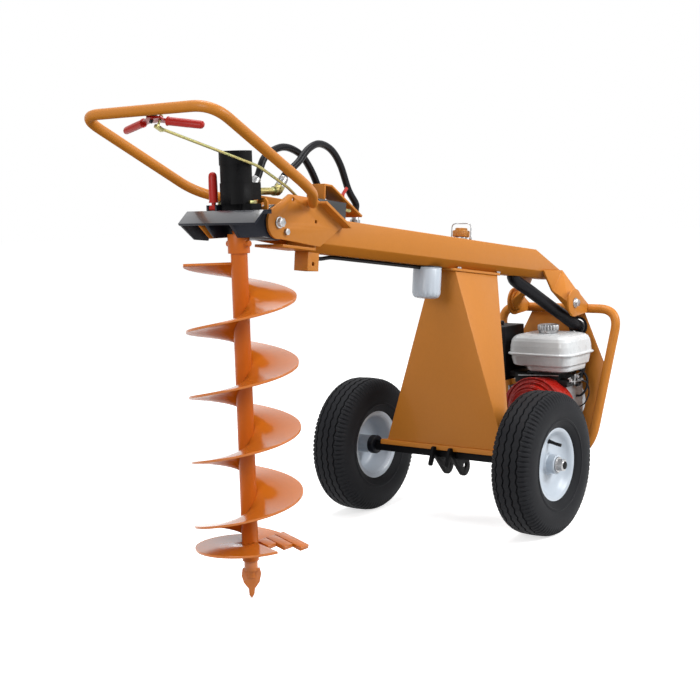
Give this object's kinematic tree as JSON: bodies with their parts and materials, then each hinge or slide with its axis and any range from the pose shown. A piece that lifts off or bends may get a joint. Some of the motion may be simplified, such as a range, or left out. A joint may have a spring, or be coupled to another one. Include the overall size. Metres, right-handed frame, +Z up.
{
  "type": "towable earth auger",
  "caption": "Towable hydraulic hole digger: a boom on a tapered tower over a wheeled axle, engine at the rear, and a tilting motor head with a screw auger at the front.",
  "frame": {"origin": "on the ground, under the middle of the whole machine's box", "axes": "+X to the engine end, +Y to the far side of the picture, +Z up"},
  "size_m": [2.2785, 0.877, 1.3434],
  "materials": {
    "orange_paint": "satin orange powder coat",
    "auger_paint": "glossy red-orange paint",
    "black_paint": "semi-gloss black paint",
    "white_paint": "gloss white paint",
    "engine_red": "gloss red paint",
    "zinc": "zinc plated",
    "yellow_zinc": "yellow zinc plated",
    "cast_alloy": "as cast",
    "iron": "dark cast iron",
    "exhaust_steel": "bare sheet steel",
    "tyre_rubber": "moulded black rubber",
    "hose_rubber": "smooth black rubber",
    "grip_red": "dipped red vinyl",
    "black_plastic": "moulded black plastic",
    "tank_white": "cream white paint",
    "amber": "amber plastic"
  },
  "bodies": {
    "chassis": {"axle_beam": "black_paint", "axle_nuts": "zinc", "tow_lugs": "black_paint", "tower": "orange_paint", "tower_base": "orange_paint", "saddle": "orange_paint", "boom": "orange_paint", "boom_legs": "orange_paint", "frame_bolts": "zinc", "frame_ears": "orange_paint", "rear_hoop": "orange_paint", "rear_plate": "orange_paint", "plate_grommet": "hose_rubber", "engine_deck": "black_paint", "side_plates": "orange_paint", "fork_floor": "orange_paint", "pivot_bolt": "zinc", "stake_pocket": "orange_paint", "handle": "orange_paint", "lever_bracket": "black_paint", "valve_body": "iron", "valve_cover": "orange_paint", "hose_ports": "zinc", "underside_hose": "hose_rubber", "suction_hose": "hose_rubber", "filter_head": "iron", "oil_filter": "white_paint", "filler_neck": "zinc", "engine_block": "cast_alloy", "cylinder_head": "cast_alloy", "air_cleaner": "black_plastic", "muffler": "exhaust_steel", "gear_pump": "cast_alloy", "recoil_cover": "engine_red", "fuel_tank": "tank_white"},
    "near_wheel": {"wheel_near": "white_paint", "tyre_near": "tyre_rubber", "hub_near": "black_paint"},
    "far_wheel": {"wheel_far": "white_paint", "tyre_far": "tyre_rubber", "hub_far": "black_paint"},
    "head": {"head_frame": "black_paint", "motor": "black_paint", "motor_bolts": "yellow_zinc", "hose_fittings": "yellow_zinc", "hose_feed": "hose_rubber", "hose_return": "hose_rubber"},
    "auger": {"auger_shaft": "auger_paint", "auger_flight": "auger_paint", "auger_teeth": "auger_paint", "pilot_bit": "auger_paint"},
    "latch": {"latch_lever": "grip_red"},
    "lever": {"control_lever": "engine_red", "lever_grips": "grip_red"},
    "rod": {"control_rod": "yellow_zinc"},
    "detent": {"detent_lever": "grip_red"},
    "reservoir_cap": {"filler_cap": "amber"},
    "bail": {"cap_bail": "zinc"},
    "tank_cap": {"fuel_cap": "zinc"},
    "starter_grip": {"recoil_grip": "black_plastic"}
  },
  "joints": [
    {"name": "near_wheel_spin", "type": "hinge", "parent": "chassis", "child": "near_wheel", "pos_m": [0.22726, -0.356, 0.2335], "axis": [0, 1, 0], "continuous": true},
    {"name": "far_wheel_spin", "type": "hinge", "parent": "chassis", "child": "far_wheel", "pos_m": [0.22726, 0.356, 0.2335], "axis": [0, 1, 0], "continuous": true},
    {"name": "head_tilt", "type": "hinge", "parent": "chassis", "child": "head", "pos_m": [-0.69248, 0, 1.03859], "axis": [0, 1, 0], "range_deg": [-8, 25], "deforming": ["hose_feed", "hose_return"]},
    {"name": "auger_spin", "type": "hinge", "parent": "head", "child": "auger", "pos_m": [-0.79348, 0, 1.03859], "axis": [0, 0, 1], "continuous": true},
    {"name": "latch_pull", "type": "hinge", "parent": "head", "child": "latch", "pos_m": [-0.82348, 0.058, 1.08289], "axis": [0, -1, 0], "range_deg": [0, 30], "stiffness_Nm_per_rad": 1.5, "springref_deg": -11.46},
    {"name": "control_swing", "type": "hinge", "parent": "chassis", "child": "lever", "pos_m": [-1.09783, 0, 1.30852], "axis": [0.4602, 0, 0.8878], "range_deg": [-16, 16], "stiffness_Nm_per_rad": 4},
    {"name": "spool_slide", "type": "slide", "parent": "chassis", "child": "rod", "axis": [0.9925, 0, -0.1219], "range_m": [-0.0092, 0.0092]},
    {"name": "detent_swing", "type": "hinge", "parent": "chassis", "child": "detent", "pos_m": [-0.36895, -0.03, 1.10525], "axis": [0, 1, 0], "range_deg": [-15, 30]},
    {"name": "reservoir_cap_turn", "type": "hinge", "parent": "chassis", "child": "reservoir_cap", "pos_m": [0.32737, 0, 0.96676], "axis": [0.1219, 0, 0.9925], "range_deg": [0, 90]},
    {"name": "bail_swing", "type": "hinge", "parent": "chassis", "child": "bail", "pos_m": [0.32554, 0, 0.95188], "axis": [0, 1, 0], "range_deg": [-70, 70]},
    {"name": "tank_cap_turn", "type": "hinge", "parent": "chassis", "child": "tank_cap", "pos_m": [0.84226, -0.047, 0.59], "axis": [0, 0, 1], "range_deg": [0, 90]},
    {"name": "starter_pull", "type": "slide", "parent": "chassis", "child": "starter_grip", "axis": [-1, 0, 0], "range_m": [0, 0.3], "stiffness_N_per_m": 25, "springref_m": -0.08}
  ],
  "couplings": [
    {"joint": "spool_slide", "follows": "control_swing", "m_per_rad": 0.032}
  ]
}
